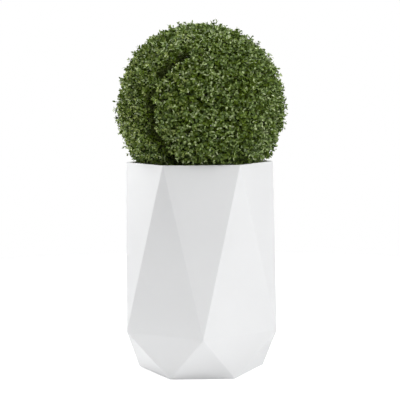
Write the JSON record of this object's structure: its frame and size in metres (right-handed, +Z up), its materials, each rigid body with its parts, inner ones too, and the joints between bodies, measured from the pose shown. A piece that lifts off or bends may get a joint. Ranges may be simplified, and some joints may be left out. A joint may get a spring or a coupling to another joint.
{
  "type": "potted boxwood ball topiary",
  "caption": "Clipped boxwood ball with dense small leaves, standing in a tall white faceted planter that narrows at its foot.",
  "frame": {"origin": "centre of the planter's flat underside, where it stands on the ground", "axes": "+Z up along the planter's axis; -Y towards the front, where a corner of the planter's belt points; +X to the right seen from the front"},
  "size_m": [0.5082, 0.5117, 1.0272],
  "materials": {
    "planter_white": "satin",
    "soil": "matte",
    "stem_bark": "matte",
    "foliage_green": "satin"
  },
  "bodies": {
    "root": {"planter": "planter_white", "soil": "soil", "stem": "stem_bark", "foliage_ball": "foliage_green"}
  },
  "joints": []
}
